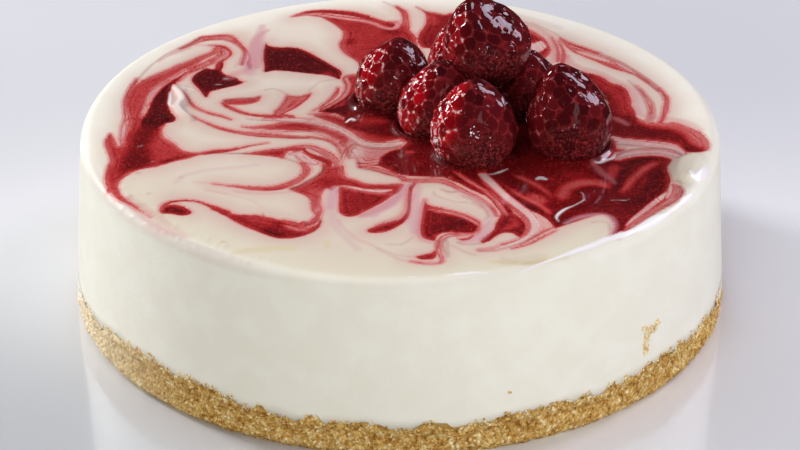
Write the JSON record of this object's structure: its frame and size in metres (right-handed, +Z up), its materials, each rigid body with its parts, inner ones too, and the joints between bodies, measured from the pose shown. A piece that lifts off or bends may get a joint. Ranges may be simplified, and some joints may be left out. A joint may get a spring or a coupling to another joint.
{
  "type": "raspberry cheesecake",
  "caption": "Whole round cheesecake with a biscuit crumb base, a smooth cream filling marbled with raspberry on top, and a small heap of glazed raspberries.",
  "frame": {"origin": "centre of the cake's foot, on the surface it stands on", "axes": "+Z up out of the top of the cake; +X to the right in the picture, the side where the raspberries lie; -Y towards the picture's camera"},
  "size_m": [0.165, 0.1653, 0.0782],
  "materials": {
    "crumb": "crumbly, matt",
    "cream": "smooth, satin",
    "berry": "glazed, glossy"
  },
  "bodies": {
    "root": {"biscuit_base": "crumb", "cream_filling": "cream", "raspberry_front": "berry", "raspberry_right": "berry", "raspberry_middle": "berry", "raspberry_left": "berry", "raspberry_behind_right": "berry", "raspberry_behind_left": "berry", "raspberry_top": "berry"}
  },
  "joints": []
}
